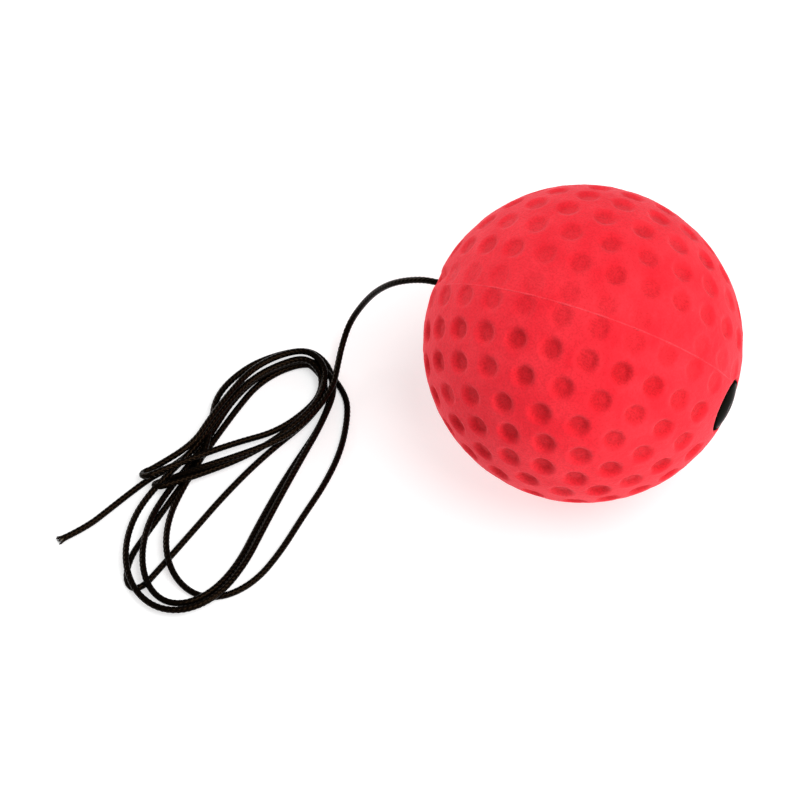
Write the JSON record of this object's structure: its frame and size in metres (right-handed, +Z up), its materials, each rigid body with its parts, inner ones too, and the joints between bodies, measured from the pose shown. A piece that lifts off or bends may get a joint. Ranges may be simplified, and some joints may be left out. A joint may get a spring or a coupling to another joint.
{
  "type": "reflex ball",
  "caption": "Dimpled foam boxing reflex ball with a plug-in stopper, threaded on a thin elastic cord that lies in a loose hank.",
  "frame": {"origin": "the point the ball rests on, below its centre, on the surface the part lies on", "axes": "+X along the ball's bore towards the stopper, +Z up, and the hank of cord lies towards -X and -Y"},
  "size_m": [0.115, 0.1134, 0.064],
  "materials": {
    "foam": "matte",
    "stopper_seat_plastic": "satin",
    "stopper_cap_plastic": "gloss",
    "cord_braid": "matte",
    "core_rubber": "matte"
  },
  "bodies": {
    "cord": {"cord_lead": "cord_braid", "cord_hank": "cord_braid", "cord_tail": "cord_braid", "frayed_sheath": "cord_braid", "core_strands": "core_rubber"},
    "ball": {"foam_ball": "foam", "cord_bore_run": "cord_braid"},
    "stopper": {"stopper_seat": "stopper_seat_plastic", "stopper_cap": "stopper_cap_plastic", "cord_knot": "cord_braid"}
  },
  "joints": [
    {"name": "ball_spin", "type": "hinge", "parent": "cord", "child": "ball", "pos_m": [0, 0, 0.032], "axis": [1, 0, 0], "continuous": true},
    {"name": "stopper_pull", "type": "slide", "parent": "ball", "child": "stopper", "axis": [1, 0, 0], "range_m": [0, 0.012], "stiffness_N_per_m": 117, "deforming": ["cord_bore_run"]}
  ]
}
